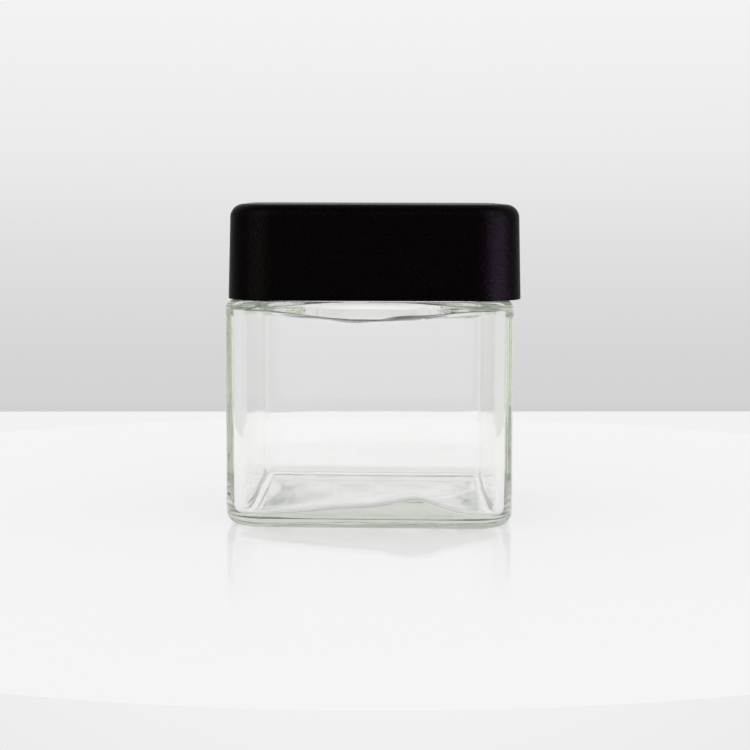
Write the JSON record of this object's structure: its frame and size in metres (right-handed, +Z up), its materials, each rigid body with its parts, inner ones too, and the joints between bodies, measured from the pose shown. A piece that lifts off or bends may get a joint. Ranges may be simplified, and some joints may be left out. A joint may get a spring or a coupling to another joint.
{
  "type": "square glass specimen jar",
  "caption": "Square clear glass jar with rounded edges, a round threaded neck and a square black screw lid with a liner inside.",
  "frame": {"origin": "centre of the jar's base, on the surface it stands on", "axes": "+Z up along the neck's axis; X and Y square to the jar's flat sides, -Y towards the front side"},
  "size_m": [0.0628, 0.0628, 0.0669],
  "materials": {
    "glass": "polished",
    "lid_plastic": "fine grain",
    "cap_plastic": "satin",
    "liner_foam": "matte",
    "liner_film": "smooth"
  },
  "bodies": {
    "jar": {"glass_jar": "glass"},
    "liner": {"liner_backing": "liner_foam", "liner_facing": "liner_film"},
    "lid": {"lid_shell": "lid_plastic", "inner_cap": "cap_plastic"}
  },
  "joints": [
    {"name": "lid_rise", "type": "slide", "parent": "jar", "child": "liner", "axis": [0, 0, 1], "range_m": [0, 0.0169]},
    {"name": "lid_turn", "type": "hinge", "parent": "liner", "child": "lid", "pos_m": [0, 0, 0.059], "axis": [0, 0, 1], "range_deg": [0, 1440]}
  ],
  "couplings": [
    {"joint": "lid_rise", "follows": "lid_turn", "m_per_rad": 0.00066845}
  ]
}
